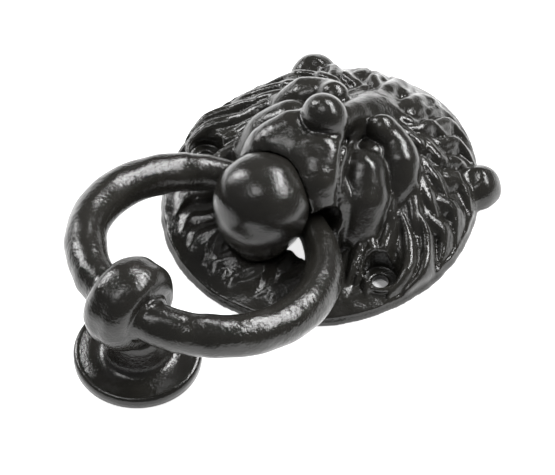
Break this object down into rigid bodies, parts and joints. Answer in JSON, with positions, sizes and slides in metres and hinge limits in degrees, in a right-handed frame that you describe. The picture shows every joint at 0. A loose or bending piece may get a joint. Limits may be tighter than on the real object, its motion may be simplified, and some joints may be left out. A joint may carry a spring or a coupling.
{
  "type": "door knocker",
  "caption": "Cast lion's-head door knocker: oval hollow-backed head, closed ring with a striking bead hung behind the jaw, and a round strike button.",
  "frame": {"origin": "on the back plane, midway between the head's two fixing holes", "axes": "+X across the face to the viewer's right, +Y to the top of the lion's head, +Z away from the door"},
  "size_m": [0.124, 0.2004, 0.0593],
  "materials": {
    "painted_casting": "gloss black paint over cast iron",
    "screw_steel": "zinc plated"
  },
  "bodies": {
    "head": {"lion_head": "painted_casting", "lower_jaw": "painted_casting", "jaw_screw": "screw_steel", "jaw_washer": "screw_steel", "strike_button": "painted_casting"},
    "ring": {"knocker_ring": "painted_casting"}
  },
  "joints": [
    {"name": "ring_swing", "type": "hinge", "parent": "head", "child": "ring", "pos_m": [0, -0.0049, 0.0194], "axis": [-1, 0, 0], "range_deg": [0, 65]}
  ]
}
